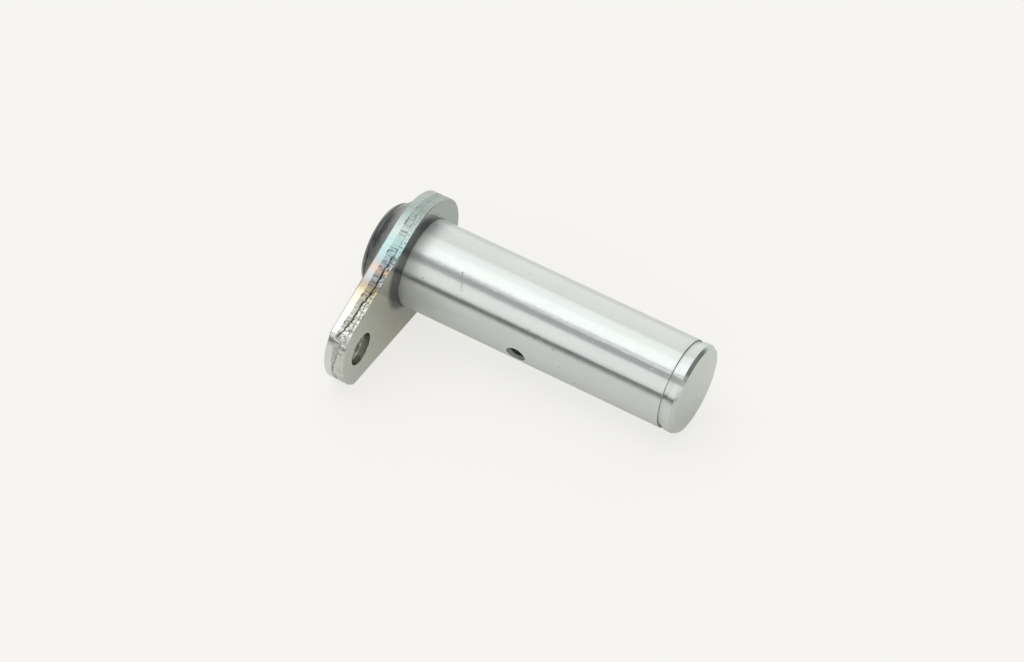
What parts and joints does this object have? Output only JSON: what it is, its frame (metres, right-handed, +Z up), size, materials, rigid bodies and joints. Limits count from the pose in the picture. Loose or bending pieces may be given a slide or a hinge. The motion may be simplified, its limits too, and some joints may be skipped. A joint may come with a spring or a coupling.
{
  "type": "steering cylinder pin",
  "caption": "Ground steel pin with a welded, bolt-down retaining plate, a retaining ring groove near the tip and a countersunk grease outlet.",
  "frame": {"origin": "on the pin's axis, in the plane of the retaining plate's seating face", "axes": "+X along the pin from the seating face towards the free tip, +Z up from the level lower side of the plate's ear, and the ear points to -Y"},
  "size_m": [0.1126, 0.0696, 0.0438],
  "materials": {
    "ground_steel": "turned and ground bright, with a fine lay round the pin",
    "punched_steel": "punched plate, heat-tinted near the weld",
    "burnt_weld": "fillet weld with dark glossy scale"
  },
  "bodies": {
    "root": {"pin": "ground_steel", "retaining_plate": "punched_steel", "weld_bead": "burnt_weld"}
  },
  "joints": []
}
